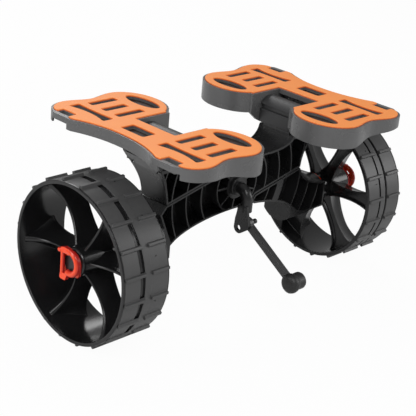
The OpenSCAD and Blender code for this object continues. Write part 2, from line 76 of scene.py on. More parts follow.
# %% [markdown]
# ## Camera
# The photograph looks down on the cart from its left front. The camera stands where
# the wheels' ellipses, the pads' corners and the frame's face all fall in place at
# once. It's given by its place and by where the picture's right and top point, because
# a matrix takes those as they are, without any angles.

# %% Camera
CAMERA_FROM_AXLE = Vector((-1.22333, -1.13830, 0.71864))
CAMERA_RIGHT = Vector((0.71330, -0.69581, 0.08394))
CAMERA_UP = Vector((0.21775, 0.33387, 0.91712))
LENS_MM = 99.62
camera_data = bpy.data.cameras.new("camera")
camera_data.lens = LENS_MM
camera_data.sensor_width = 36
camera_data.clip_end = 50
camera = placed("camera", camera_data)
back = CAMERA_RIGHT.cross(CAMERA_UP)
turn = Matrix((CAMERA_RIGHT, CAMERA_UP, back)).transposed()
camera.matrix_world = Matrix.Translation(AXLE + CAMERA_FROM_AXLE) @ turn.to_4x4()
bpy.context.scene.camera = camera
print("camera at:", [round(v, 3) for v in camera.matrix_world.translation])

# %% [markdown]
# ## Studio
# A white table and a white room keep attention on the shape. The floor glows for the
# camera alone: it looks white, and still throws only a little light back under the
# cart. Four large soft lamps give the black plastic broad reflections, because
# without those its ribs would vanish.

# %% Helpers for nodes
WHITE = (1, 1, 1, 1)


def preset(node, values):
    """The node, with some of its inputs set by their names."""
    for name, value in values.items():
        node.inputs[name].default_value = value
    return node


def wire(tree, *pairs):
    """Links each output to the input that it's paired with."""
    for output, socket in pairs:
        tree.links.new(output, socket)


def maths(tree, operation, *values):
    """The result of one sum of numbers, or of the outputs of other nodes."""
    node = tree.nodes.new("ShaderNodeMath")
    node.operation = operation
    for socket, value in zip(node.inputs, values):
        if isinstance(value, (int, float)):
            socket.default_value = value
        else:
            tree.links.new(value, socket)
    return node.outputs[0]


# %% What the camera sees by itself
def for_camera(tree, otherwise, seen, end, share):
    """Mixes in a share of another shader, for the camera's own rays alone."""
    blend = tree.nodes.new("ShaderNodeMixShader")
    camera_ray = tree.nodes.new("ShaderNodeLightPath").outputs["Is Camera Ray"]
    wire(tree, (maths(tree, "MULTIPLY", camera_ray, share), blend.inputs["Fac"]),
         (otherwise, blend.inputs[1]), (seen, blend.inputs[2]),
         (blend.outputs["Shader"], tree.nodes[end].inputs["Surface"]))


# %% Floor
FLOOR_HALF = 6
FLOOR_WHITE = (0.8, 0.8, 0.8, 1)
GLOW_SHARE = 0.96


def add_floor():
    """A square of white table at z = 0, which is scenery and no piece of the cart."""
    mesh = bpy.data.meshes.new("floor")
    corners = [(FLOOR_HALF * x, FLOOR_HALF * y, 0) for x, y in
               ((-1, -1), (1, -1), (1, 1), (-1, 1))]
    mesh.from_pydata(corners, [], [(0, 1, 2, 3)])
    material = bpy.data.materials.new("floor_white")
    material.use_nodes = True
    tree = material.node_tree
    shader = preset(tree.nodes["Principled BSDF"], {
        "Base Color": FLOOR_WHITE, "Roughness": 0.9, "Specular IOR Level": 0.1})
    glow = preset(tree.nodes.new("ShaderNodeEmission"), {"Color": WHITE})
    for_camera(tree, shader.outputs["BSDF"], glow.outputs["Emission"], "Material Output",
               GLOW_SHARE)
    mesh.materials.append(material)
    placed("floor", mesh)


add_floor()
print("floor, metres across:", 2 * FLOOR_HALF)

# %% Lamps
LAMPS = (("key", (-1.2, -1.5, 2.0), 0.15, (1.4, 0.9), 27),
         ("left", (-2.0, 0.5, 1.0), 0.12, (0.7, 1.5), 15),
         ("fill", (1.9, -1.6, 1.0), 0.15, (1.0, 1.4), 17),
         ("back", (0.7, 2.0, 1.6), 0.15, (1.6, 0.9), 20))


def add_lamp(name, place, height, size, power):
    """A soft lamp that looks at a point above the middle of the floor."""
    data = bpy.data.lights.new(name, "AREA")
    data.shape = "RECTANGLE"
    data.size, data.size_y = size
    data.energy = power
    lamp = placed(name, data)
    lamp.location = place
    looks = Vector((0, 0, height)) - lamp.location
    lamp.rotation_euler = looks.to_track_quat("-Z", "Y").to_euler()


for lamp_row in LAMPS:
    add_lamp(*lamp_row)
print("lamps:", len(LAMPS))

# %% Room
ROOM_LIGHT = 0.34


def add_world(strength):
    """White where the camera looks past the cart, and a dim even light elsewhere."""
    world = bpy.data.worlds.new("room")
    world.use_nodes = True
    tree = world.node_tree
    even = preset(tree.nodes["Background"], {"Color": WHITE, "Strength": strength})
    white = preset(tree.nodes.new("ShaderNodeBackground"), {"Color": WHITE, "Strength": 1})
    for_camera(tree, even.outputs["Background"], white.outputs["Background"],
               "World Output", 1)
    bpy.context.scene.world = world


add_world(ROOM_LIGHT)
bpy.context.scene.view_settings.view_transform = "Standard"
print("room light:", ROOM_LIGHT)

# %% [markdown]
# ## Shared effects
# Moulded plastic is never perfectly even. Two small node groups hold what the
# finishes share: the grain of the mould's surface, and a slow mottle that changes
# the shine and the colour a little from place to place. A group is built once and
# then used in every material with other values, so all of them stay related.

# %% A new group
def new_group(name, inputs, outputs):
    """An empty group with named sockets, and its two end nodes."""
    group = bpy.data.node_groups.new(name, "ShaderNodeTree")
    for label, kind, value in inputs:
        socket = group.interface.new_socket(label, in_out="INPUT", socket_type=kind)
        if value is not None:
            socket.default_value = value
    for label, kind in outputs:
        group.interface.new_socket(label, in_out="OUTPUT", socket_type=kind)
    return group, group.nodes.new("NodeGroupInput"), group.nodes.new("NodeGroupOutput")


# %% Grain
def build_grain():
    """Fine noise with pits between cells, as a sanded mould leaves it."""
    group, ins, outs = new_group(
        "moulded_grain",
        [("Vector", "NodeSocketVector", None), ("Grain Scale", "NodeSocketFloat", 1400.0),
         ("Pits", "NodeSocketFloat", 0.4)],
        [("Height", "NodeSocketFloat")])
    noise = preset(group.nodes.new("ShaderNodeTexNoise"), {"Detail": 3})
    cells = group.nodes.new("ShaderNodeTexVoronoi")
    for texture in (noise, cells):
        wire(group, (ins.outputs["Vector"], texture.inputs["Vector"]),
             (ins.outputs["Grain Scale"], texture.inputs["Scale"]))
    pits = maths(group, "MULTIPLY", cells.outputs["Distance"], ins.outputs["Pits"])
    height = maths(group, "ADD", noise.outputs["Fac"], pits)
    wire(group, (height, outs.inputs["Height"]))
    return group


GRAIN = build_grain()
print("shader group:", GRAIN.name)


# %% Mottle
def build_mottle():
    """A value that swings slowly about its middle, and the noise behind it as a mask."""
    group, ins, outs = new_group(
        "slow_mottle",
        [("Vector", "NodeSocketVector", None), ("Mottle Scale", "NodeSocketFloat", 18.0),
         ("Middle", "NodeSocketFloat", 0.5), ("Swing", "NodeSocketFloat", 0.1)],
        [("Value", "NodeSocketFloat"), ("Mask", "NodeSocketFloat")])
    noise = preset(group.nodes.new("ShaderNodeTexNoise"), {"Detail": 4, "Roughness": 0.6})
    wire(group, (ins.outputs["Vector"], noise.inputs["Vector"]),
         (ins.outputs["Mottle Scale"], noise.inputs["Scale"]))
    centred = maths(group, "SUBTRACT", noise.outputs["Fac"], 0.5)
    swung = maths(group, "MULTIPLY", centred, ins.outputs["Swing"])
    value = maths(group, "ADD", swung, ins.outputs["Middle"])
    wire(group, (value, outs.inputs["Value"]), (noise.outputs["Fac"], outs.inputs["Mask"]))
    return group


MOTTLE = build_mottle()
print("shader group:", MOTTLE.name)

# %% [markdown]
# ## Finishes
# One function makes every plastic and rubber. A finish is its dark and light shade,
# its shine and how deep its grain is. A picture of plastic would do too, but noise has
# no seams and needs no unwrapping. The bevel node rounds the light on an edge, as a
# mould's small radius does. The orange and the red are given painted shade: a deeper
# colour on the sides that face away from the light, where a mesh attribute says.

# %% Mixed colours
def mixed(tree, factor, a, b):
    """A colour between two, each of them given or another node's output."""
    blend = tree.nodes.new("ShaderNodeMix")
    blend.data_type = "RGBA"
    wire(tree, (factor, blend.inputs["Factor"]))
    for name, value in (("A", a), ("B", b)):
        if isinstance(value, tuple):
            blend.inputs[name].default_value = (*value, 1)
        else:
            wire(tree, (value, blend.inputs[name]))
    return blend.outputs["Result"]


def with_painted_shade(tree, colour, painted_shade):
    """Painted shade: turns a colour deeper where the piece's shade attribute rises."""
    shade_mask = tree.nodes.new("ShaderNodeAttribute")
    shade_mask.attribute_name = "painted_shade_share"
    return mixed(tree, shade_mask.outputs["Fac"], colour, painted_shade)


# %% One finish
EDGE_RADIUS = 0.8 * MM
EDGE_SAMPLES = 6
GRAIN_STRENGTH = 0.35


def finish(name, shade, light_shade, roughness, swing, grain_scale, grain_depth,
           metallic=0.0, painted_shade=None):
    """A material whose shade and roughness swing slowly, with a fine grain."""
    material = bpy.data.materials.new(name)
    material.use_nodes = True
    tree = material.node_tree
    shader = preset(tree.nodes["Principled BSDF"], {"Metallic": metallic})
    place = tree.nodes.new("ShaderNodeTexCoord").outputs["Object"]
    grain = tree.nodes.new("ShaderNodeGroup")
    grain.node_tree = GRAIN
    preset(grain, {"Grain Scale": grain_scale})
    mottle = tree.nodes.new("ShaderNodeGroup")
    mottle.node_tree = MOTTLE
    preset(mottle, {"Middle": roughness, "Swing": swing})
    colour = mixed(tree, mottle.outputs["Mask"], shade, light_shade)
    # painted shade: a finish with a shade colour turns deeper where a piece marks it
    if painted_shade:
        colour = with_painted_shade(tree, colour, painted_shade)
    bump = preset(tree.nodes.new("ShaderNodeBump"),
                  {"Strength": GRAIN_STRENGTH, "Distance": grain_depth})
    bevel = preset(tree.nodes.new("ShaderNodeBevel"), {"Radius": EDGE_RADIUS})
    bevel.samples = EDGE_SAMPLES
    wire(tree, (place, grain.inputs["Vector"]), (place, mottle.inputs["Vector"]),
         (mottle.outputs["Value"], shader.inputs["Roughness"]),
         (colour, shader.inputs["Base Color"]),
         (grain.outputs["Height"], bump.inputs["Height"]),
         (bevel.outputs["Normal"], bump.inputs["Normal"]),
         (bump.outputs["Normal"], shader.inputs["Normal"]))
    return material


# %% Every finish
# slot, material, dark and light shade, roughness, its swing, grain's scale and depth
FINISH_TABLE = (
    ("frame_plastic", "black_nylon", (0.008, 0.008, 0.0085), (0.014, 0.014, 0.0145),
     0.28, 0.12, 1500, 0.00005),
    ("hinge_plastic", "hinge_nylon", (0.020, 0.020, 0.021), (0.030, 0.030, 0.031),
     0.42, 0.1, 1500, 0.00012),
    ("wheel_plastic", "wheel_nylon", (0.006, 0.006, 0.0065), (0.011, 0.011, 0.0115),
     0.20, 0.10, 1300, 0.00004),
    ("tread_rubber", "tread_rubber", (0.050, 0.050, 0.0505), (0.066, 0.066, 0.0665),
     0.40, 0.1, 1100, 0.00010),
    ("tray_plastic", "tray_nylon", (0.092, 0.092, 0.093), (0.112, 0.112, 0.113),
     0.27, 0.1, 1400, 0.00007),
    ("pad_rubber", "orange_rubber", (0.95, 0.28, 0.055), (1.0, 0.34, 0.075),
     0.55, 0.1, 1200, 0.00012),
    ("clip_plastic", "red_nylon", (0.95, 0.052, 0.006), (1.0, 0.078, 0.009),
     0.22, 0.08, 1500, 0.00005),
    ("foot_rubber", "foot_rubber", (0.010, 0.010, 0.010), (0.015, 0.015, 0.015),
     0.45, 0.1, 1100, 0.00016),
    # painted light: the frame's black nylon made lighter for the leg's lit top
    ("leg_painted_light", "leg_nylon_painted_light", (0.034, 0.034, 0.0345), (0.046, 0.046, 0.0465),
     0.34, 0.1, 1500, 0.00006),
    # painted shade: a dark brown for the shaded wells under the cut-outs
    ("well_painted_shade", "well_nylon_painted_shade", (0.008, 0.0048, 0.0035), (0.018, 0.010, 0.0075),
     0.6, 0.2, 1400, 0.0002),
    ("steel", "plain_steel", (0.50, 0.51, 0.52), (0.60, 0.60, 0.61),
     0.3, 0.1, 900, 0.00005))
# painted shade: the orange skin and the red clip turn to these deeper colours on their sides
EXTRAS = {"pad_rubber": {"painted_shade": (0.84, 0.115, 0.014)},
          "clip_plastic": {"painted_shade": (0.42, 0.012, 0.008)}, "steel": {"metallic": 1.0}}
FINISHES = {slot: finish(*row, **EXTRAS.get(slot, {})) for slot, *row in FINISH_TABLE}
print("finishes:", len(FINISHES))

# %% [markdown]
# ## Making one piece
# Every new piece is a mesh in the frame's own place, rides on one body and may stand
# for solids of the frame. One helper says all three, so that no piece is forgotten.
# The points of a mesh are worked out in the script and not set by hand, so a size can
# be changed later and the piece follows.

# %% From numbers to a mesh
def rest(x, y, z):
    """A point given in millimetres from the axle's centre, in the frame's metres."""
    return AXLE + Vector((x, y, z)) * MM


def along(axis, t, a, b):
    """A point at t along X or Y, with a and b for the two directions that are left."""
    return rest(t, a, b) if axis == "X" else rest(a, t, b)


def mesh_of(name, points, faces):
    """A mesh of these points and faces, merged where they meet."""
    mesh = bpy.data.meshes.new(name)
    mesh.from_pydata([tuple(p) for p in points], [], faces)
    return outward(mesh)


MERGE_WITHIN = 2e-6


def merged(mesh, then):
    """The mesh with its doubles merged, and then one more operation done on it."""
    work = bmesh.new()
    work.from_mesh(mesh)
    bmesh.ops.remove_doubles(work, verts=work.verts, dist=MERGE_WITHIN)
    then(work)
    work.to_mesh(mesh)
    work.free()
    mesh.update()
    return mesh


def outward(mesh):
    """Merges doubles and turns every face outwards."""
    return merged(mesh, lambda work: bmesh.ops.recalc_face_normals(work, faces=work.faces))


def tube_faces(rings, count, closed=False):
    """Quads from each ring of points to the next; an open tube gets a cap at both ends."""
    faces = [] if closed else [tuple(range(count)),
                               tuple(range(rings * count - 1, (rings - 1) * count - 1, -1))]
    for i in range(rings if closed else rings - 1):
        a, b = i * count, (i + 1) % rings * count
        for j in range(count):
            k = (j + 1) % count
            faces.append((a + j, a + k, b + k, b + j))
    return faces


# %% From meshes to a rounded mesh
MOULDED_EDGE = 0.45


def joined(name, meshes):
    """One mesh of several, which may run into each other."""
    work = bmesh.new()
    for mesh in meshes:
        work.from_mesh(mesh)
    result = bpy.data.meshes.new(name)
    work.to_mesh(result)
    work.free()
    return result


def baked(holder):
    """The mesh that an object comes to with its modifiers; the object itself goes."""
    graph = bpy.context.evaluated_depsgraph_get()
    result = bpy.data.meshes.new_from_object(holder.evaluated_get(graph))
    bpy.data.objects.remove(holder)
    return result


def modified(mesh, *steps):
    """The mesh after modifiers, each given as (kind, {setting: value})."""
    holder = placed("holder", mesh)
    for kind, settings in steps:
        modifier = holder.modifiers.new(kind, kind)
        for key, value in settings.items():
            setattr(modifier, key, value)
    return baked(holder)


def soften(mesh, width, angle=30, segments=2):
    """Rounds edges sharper than an angle, then shades with the flat faces kept flat."""
    mesh = modified(mesh, ("BEVEL", {
        "width": width * MM, "segments": segments, "limit_method": "ANGLE",
        "angle_limit": radians(angle), "use_clamp_overlap": True}))
    return shaded(mesh, angle)


def shaded(mesh, angle):
    """Smooth shading, except across edges sharper than an angle."""
    mesh.shade_smooth()
    mesh.set_sharp_from_angle(angle=radians(angle))
    return modified(mesh, ("WEIGHTED_NORMAL", {"keep_sharp": True}))


# %% From a mesh to a piece
def add_piece(name, mesh, body, slot, *replaced, painted=None):
    """A piece on a body, in its slot's finish or in another that it's painted with."""
    piece = placed(name, mesh)
    mesh.name = name
    mesh.materials.clear()
    mesh.materials.append(FINISHES[painted or slot])
    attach(piece, body)
    if replaced:
        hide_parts(*replaced)
    faces = sum(len(p.vertices) - 2 for p in mesh.polygons)
    print(name, "triangles:", faces)
    return piece


# %% Turned shapes
def lathe(name, side, profile, steps, centre=(0, 0), axis="X"):
    """Turns (distance from the middle, radius) points round an axis along X or Y."""
    points = []
    for turn_by in (2 * pi * i / steps for i in range(steps)):
        points += [along(axis, side * t, centre[0] + r * cos(turn_by),
                         centre[1] + r * sin(turn_by)) for t, r in profile]
    return mesh_of(name, points, tube_faces(steps, len(profile), closed=True))


# %% [markdown]
# ## Rounded moulding edges
# A moulded edge always has a small radius, which catches the light as a thin bright
# line. The frame's solids have sharp edges and loose triangles, and stay as they are.
# So each gets a copy whose doubles are merged, whose flat faces are made one, and whose
# edges are bevelled. Where a real form differs, a prism is cut from the copy or added.

# %% A clean copy
FLAT_WITHIN = radians(0.3)


def clean_copy(node):
    """A solid's mesh with its triangles made into whole flat faces."""
    return merged(nodes[node].data.copy(), lambda work: bmesh.ops.dissolve_limit(
        work, angle_limit=FLAT_WITHIN, verts=work.verts, edges=work.edges))


# %% Prisms and cuts
def prism(name, outline, low, high, axis="Y"):
    """A closed prism of an outline in millimetres, from low to high along an axis."""
    points = [along(axis, t, a, b) for t in (low, high) for a, b in outline]
    return mesh_of(name, points, tube_faces(2, len(outline)))


def carved(mesh, *tools):
    """The mesh with other meshes cut away from it."""
    for tool in tools:
        cutter = placed("cutter", tool)
        mesh = modified(mesh, ("BOOLEAN", {"operation": "DIFFERENCE", "solver": "EXACT",
                                           "object": cutter}))
        bpy.data.objects.remove(cutter)
    return mesh


# %% What the frame's record says
BODY_OF = {node: body for body, members in frame["record"]["behaviour"]["bodies"].items()
           for node in members}
SLOT_OF = {row["node"]: row["material_slot"] for row in frame["record"]["subparts"]}
print("bodies known for", len(BODY_OF), "nodes")

# %% [markdown]
# ## Wheel bodies
# Each wheel is one glossy moulding: a drum with a raised band round its middle, a hub,
# and six hollow spokes. A spoke is a keel seen from outside. It starts narrow at the
# hub and flares into the drum in one curve. So it is lofted from cross-sections, and
# Geometry Nodes then turn six copies of the one spoke round the axle.

# %% Sizes of a wheel, in millimetres
OUTER_X = 304.5
WHEEL_W = 84
BAND_R, DRUM_R, RIM_IN = 121, 118.5, 115
RIB_FROM, RIB_TO = 38.6, 50.4
HUB_FROM, HUB_TO, HUB_R, BUSH_R = 10, 82.6, 22, 15.1
SPOKE_BACK, SPOKE_WALL, SPOKE_RECESS = 62, 2.2, 5
RIDGE_R, RIDGE_DEPTH, RISE_TO_HUB, RISE_TO_RIM = 67, 31.5, 8.5, 19.5
WAIST_R, WAIST_HALF, SPREAD_TO_HUB, SPREAD_TO_RIM = 55, 9.5, 5, 15
SPOKE_STATIONS = 35
SPOKE_COUNT = 6
SPOKE_TURN = {"left": -4.2, "right": -3.0}
RIM_STEPS, HUB_STEPS = 180, 72
print("outer faces of the wheels, millimetres apart:", 2 * OUTER_X)


# %% One spoke
def ridge_depth(r):
    """How far a spoke's ridge lies behind the wheel's outer face, deepest at RIDGE_R."""
    if r < RIDGE_R:
        return RIDGE_DEPTH - RISE_TO_HUB * ((RIDGE_R - r) / 42) ** 2
    return RIDGE_DEPTH - RISE_TO_RIM * ((r - RIDGE_R) / 46) ** 2.2


def back_half_width(r):
    """Half the width of a spoke's back, which is narrowest at WAIST_R."""
    if r < WAIST_R:
        spread = SPREAD_TO_HUB * ((WAIST_R - r) / 33) ** 2
    else:
        spread = SPREAD_TO_RIM * ((r - WAIST_R) / 60) ** 2.6
    return WAIST_HALF + spread + 8 * max(0, (r - 101) / 14) ** 2


def spoke_section(r):
    """The open keel of a spoke: its outside from edge to edge, then its inside back."""
    width, top = back_half_width(r), ridge_depth(r)
    tip = 2.3 + 0.07 * max(r - 80, 0)
    height = SPOKE_BACK - top - tip
    outside = [(0, top), (0.5 * tip, top + 0.13 * tip), (0.87 * tip, top + 0.5 * tip),
               (tip, top + tip)]
    outside += [(tip + (width - tip) * v ** 1.55, top + tip + height * v)
                for v in (0.15, 0.3, 0.45, 0.6, 0.75, 0.88, 1)]
    floor = SPOKE_BACK - SPOKE_RECESS
    inside = [(0, floor), (width - 2 * SPOKE_WALL, floor), (width - SPOKE_WALL, floor + 2),
              (width - SPOKE_WALL, SPOKE_BACK)]
    left = [(-u, d) for u, d in reversed(outside)] + outside[1:]
    back = list(reversed(inside)) + [(-u, d) for u, d in inside[1:]]
    return left + back


def spoke_mesh(side):
    """One spoke about the origin, from inside the hub to inside the drum."""
    start, end = HUB_R - 5, RIM_IN + 1.5
    stations = [start + (end - start) * i / (SPOKE_STATIONS - 1)
                for i in range(SPOKE_STATIONS)]
    rings = [spoke_section(r) for r in stations]
    points = [Vector((side * (OUTER_X - depth), r, across)) * MM
              for r, ring in zip(stations, rings) for across, depth in ring]
    return mesh_of("spoke", points, tube_faces(len(rings), len(rings[0])))


# %% [markdown]
# ### A tree that turns copies round an axle
# The tree takes one shape and makes copies of it on a ring round an axis along X: a
# line of points that all lie on the axle, and on each a copy that is turned by its
# share of a whole turn. So the spokes stay even when their number changes. Realize
# Instances makes real faces of the copies, because an export drops instances.

# %% The ring tree
def ring_tree():
    """Copies of a shape turned round an axle, with named inputs for its sizes."""
    tree = bpy.data.node_groups.new("copies_round_axle", "GeometryNodeTree")
    for label, kind in (("Geometry", "NodeSocketGeometry"), ("Copies", "NodeSocketInt"),
                        ("First Angle", "NodeSocketFloat"), ("Centre", "NodeSocketVector"),
                        ("Finish", "NodeSocketMaterial")):
        tree.interface.new_socket(label, in_out="INPUT", socket_type=kind)
    tree.interface.new_socket("Geometry", in_out="OUTPUT", socket_type="NodeSocketGeometry")
    ins, outs = tree.nodes.new("NodeGroupInput"), tree.nodes.new("NodeGroupOutput")
    line = preset(tree.nodes.new("GeometryNodeMeshLine"), {"Offset": (0, 0, 0)})
    index = tree.nodes.new("GeometryNodeInputIndex")
    share = maths(tree, "DIVIDE", index.outputs[0], ins.outputs["Copies"])
    angle = maths(tree, "MULTIPLY_ADD", share, 2 * pi, ins.outputs["First Angle"])
    turn_to = tree.nodes.new("ShaderNodeCombineXYZ")
    place = tree.nodes.new("GeometryNodeInstanceOnPoints")
    realize = tree.nodes.new("GeometryNodeRealizeInstances")
    paint = tree.nodes.new("GeometryNodeSetMaterial")
    wire(tree, (ins.outputs["Copies"], line.inputs["Count"]),
         (ins.outputs["Centre"], line.inputs["Start Location"]),
         (angle, turn_to.inputs["X"]), (line.outputs["Mesh"], place.inputs["Points"]),
         (ins.outputs["Geometry"], place.inputs["Instance"]),
         (turn_to.outputs["Vector"], place.inputs["Rotation"]),
         (place.outputs["Instances"], realize.inputs["Geometry"]),
         (realize.outputs["Geometry"], paint.inputs["Geometry"]),
         (ins.outputs["Finish"], paint.inputs["Material"]),
         (paint.outputs["Geometry"], outs.inputs["Geometry"]))
    return tree


RING = ring_tree()
print("ring tree:", len(RING.nodes), "nodes")


# %% A ring of copies
def ring_of(mesh, copies, first_angle, slot):
    """Copies of a mesh, modelled about the origin, turned round the axle."""
    holder = placed("ring_holder", mesh)
    modifier = holder.modifiers.new("ring", "NODES")
    modifier.node_group = RING
    values = {"Copies": copies, "First Angle": radians(first_angle),
              "Centre": tuple(AXLE), "Finish": FINISHES[slot]}
    for item in RING.interface.items_tree:
        if item.in_out == "INPUT" and item.name in values:
            modifier[item.identifier] = values[item.name]
    return baked(holder)


# %% Drum and hub
def drum_profile():
    """(depth behind the outer face, radius), closed, with small radii at its edges."""
    back = WHEEL_W
    return [(back, RIM_IN + 1.2), (back - 0.4, RIM_IN + 2), (back - 0.6, BAND_R - 1),
            (back - 1.2, BAND_R - 0.3), (back - 2, BAND_R), (back - 2.8, BAND_R),
            (back - 3, BAND_R - 0.3), (back - 3, DRUM_R), (RIB_TO, DRUM_R),
            (RIB_TO, BAND_R - 0.6), (RIB_TO - 0.6, BAND_R), (RIB_FROM + 0.6, BAND_R),
            (RIB_FROM, BAND_R - 0.6), (RIB_FROM, DRUM_R), (3, DRUM_R), (3, BAND_R - 0.3),
            (2.8, BAND_R), (1, BAND_R), (0.3, BAND_R - 0.4), (0, BAND_R - 1.2),
            (0, RIM_IN + 1.4), (0.4, RIM_IN + 0.5), (1.4, RIM_IN), (back - 1.4, RIM_IN),
            (back - 0.4, RIM_IN + 0.5)]


def hub_profile():
    """The hub's profile, with a fillet of 5 mm at its outer end."""
    fillet = [(HUB_FROM + 5 - 5 * cos(radians(a)),
               HUB_R - 5 + 5 * sin(radians(a))) for a in (0, 15, 35, 55, 75, 90)]
    return [(HUB_FROM, BUSH_R)] + fillet + [(HUB_TO - 1, HUB_R), (HUB_TO, HUB_R - 1),
                                            (HUB_TO, BUSH_R)]


def from_middle(profile):
    """Depths behind the wheel's outer face as distances from the cart's middle."""
    return [(OUTER_X - depth, r) for depth, r in profile]


# %% Whole wheels
for label, side in SIDES.items():
    spokes = ring_of(spoke_mesh(side), SPOKE_COUNT, SPOKE_TURN[label], "wheel_plastic")
    drum = lathe("drum", side, from_middle(drum_profile()), RIM_STEPS)
    hub = lathe("hub", side, from_middle(hub_profile()), HUB_STEPS)
    wheel = shaded(joined("wheel", [drum, hub, spokes]), 38)
    add_piece("wheel_shell_" + label, wheel, "wheel_" + label, "wheel_plastic",
              "wheel_body_" + label)

# %% [markdown]
# ## Treads
# The treads are soft rubber bands with cross lugs. An array could turn one lug round
# the wheel. The solids already have each lug in its place, so their copies only get
# rounded edges, and the rubber's own duller finish. In the photograph the inner band
# runs on over the drum's middle rib, so a thin collar of rubber lies on that rib.

# %% Treads
for label, side in SIDES.items():
    for ring in ("outer", "inner"):
        node = "tread_%s_%s" % (ring, label)
        add_piece("rounded_" + node, soften(clean_copy(node), MOULDED_EDGE),
                  "wheel_" + label, "tread_rubber", node)
    collar = lathe("collar", side, from_middle([
        (RIB_FROM + 0.1, BAND_R - 0.3), (RIB_FROM + 0.1, BAND_R),
        (RIB_FROM + 0.6, BAND_R + 0.25), (RIB_TO + 0.2, BAND_R + 0.25),
        (RIB_TO + 0.2, BAND_R - 0.3)]), RIM_STEPS)
    add_piece("tread_collar_" + label, shaded(collar, 30), "wheel_" + label, "tread_rubber")

# %% [markdown]
# ## Frame halves
# The two halves are one ribbed moulding turned half round. Their solids have every rib
# and web. The copies get rounded rib edges, which show as thin bright lines in the
# photograph, and a shorter end on each stub, where the clip's loop passes in front.
# Below a saddle the real wall widens in a soft curve. Prisms cut the solid's flat wings
# off the copy, and the small shelf on its barrel, which the photograph doesn't show. A
# band swept along the arm's edge then makes the curve.

# %% The flare's path
FACE_Y = 28
SADDLE_Z = 125
FLARE_FROM, FLARE_TO = 73, 134
FLARE_OUT, FLARE_WALL = 10, 4


def arm_edge(z):
    """How far out the arm's outer edge lies at a height."""
    return 147.6 + 36.4 * ((z - 62) / 77) ** 1.7


def flare_paths():
    """(x, z, how far the flare has opened) up an arm's outer edge, and round its saddle."""
    outer = []
    for i in range(19):
        z = FLARE_FROM + (FLARE_TO - FLARE_FROM) * i / 18
        opened = min(1, ((z - FLARE_FROM) / (SADDLE_Z - FLARE_FROM)) ** 2)
        outer.append((arm_edge(z), z, opened))
    outer.append((181.4, 137, 1))
    saddle = [(172, SADDLE_Z, 1), (112, SADDLE_Z, 1)]
    for i in range(1, 13):
        a = radians(-90 * i / 14)
        x = 57 + 53 * cos(a)
        saddle.append((x, SADDLE_Z + 22 * sin(a), max(0, (x - 66) / 46) ** 1.6))
    return outer, saddle


# %% The flare's band
def flare(side, face, path):
    """A band along the arm's edge that widens towards the saddle, on one face."""
    points, root = [], FACE_Y - 3
    for i, (x, z, opened) in enumerate(path):
        before, after = path[max(i - 1, 0)], path[min(i + 1, len(path) - 1)]
        ahead = Vector((after[0] - before[0], after[1] - before[1])).normalized()
        inward = Vector((-ahead.y, ahead.x)) * FLARE_WALL
        top = FACE_Y + FLARE_OUT * opened
        points += [rest(side * px, face * py, pz) for px, pz, py in (
            (x, z, root), (x, z, top), (x + inward.x, z + inward.y, top),
            (x + inward.x, z + inward.y, root))]
    return mesh_of("flare", points, tube_faces(len(path), 4))


# %% Frame halves
STUB_END = 301
PAST_STUB = 320
OFF_FACE = FACE_Y + 0.05
SHELF = [(131, -60), (152, -60), (152, 60), (131, 60)]
WING = [(112, 116.5), (190, 116.5), (190, 140), (163, 140), (163, 126), (112, 126)]


def cut_beyond(name, outline, side, face, far):
    """What is cut off one face of a half: an outline at its side, out from the face."""
    return prism(name, [(side * x, z) for x, z in outline], face * OFF_FACE, face * far)


for node, side in (("frame_half_front", -1), ("frame_half_rear", 1)):
    ends = [lathe("stub_end", end, [(STUB_END, 0.01), (STUB_END, 20), (PAST_STUB, 20),
                                    (PAST_STUB, 0.01)], 24) for end in (-1, 1)]
    shelf = cut_beyond("shelf", SHELF, side, side, 60)
    wings = [cut_beyond("wing", WING, -side, face, 45) for face in (-1, 1)]
    copy = soften(carved(clean_copy(node), *ends, shelf, *wings), MOULDED_EDGE)
    flares = [soften(flare(-side, face, path), 0.8, angle=40, segments=3)
              for face in (-1, 1) for path in flare_paths()]
    add_piece("rounded_" + node, joined("half", [copy] + flares), "frame", "frame_plastic",
              node)

# %% [markdown]
# ## Clips
# A red clip drops over the groove in each stub. Behind is a plate with open jaws. In
# front is the part that one pulls: an arch like a D with a straight bar, a roll for
# the thumb at the top and a foot at the bottom. All of it is one moulding whose parts
# run softly into each other. So they are made roughly, one through another, and a
# voxel remesh then fuses them into one skin, which a smoothing step rounds.

# %% The clip's arch
CLIP_IN, CLIP_OUT = 294.9, 299.9
LOOP_IN, LOOP_T = 301.3, 7.2
ARCH_Y, ARCH_Z = -3.4, 3.6
ARCH_FROM, ARCH_TO, ARCH_STEPS = 76, 288, 40


def clip_arch(side):
    """A rounded band swept round more than half a turn."""
    section = [(12.3, 1.5), (13.8, 0.2), (19.8, 0), (21.4, 1.4), (21.8, 3), (21.1, 5),
               (19.2, 6.6), (17, LOOP_T), (14.8, 6.6), (12.9, 5), (12, 3)]
    points = []
    for i in range(ARCH_STEPS + 1):
        a = radians(ARCH_FROM + (ARCH_TO - ARCH_FROM) * i / ARCH_STEPS)
        points += [rest(side * (LOOP_IN + t), ARCH_Y + r * cos(a),
                        ARCH_Z + r * sin(a)) for r, t in section]
    return mesh_of("arch", points, tube_faces(ARCH_STEPS + 1, len(section)))


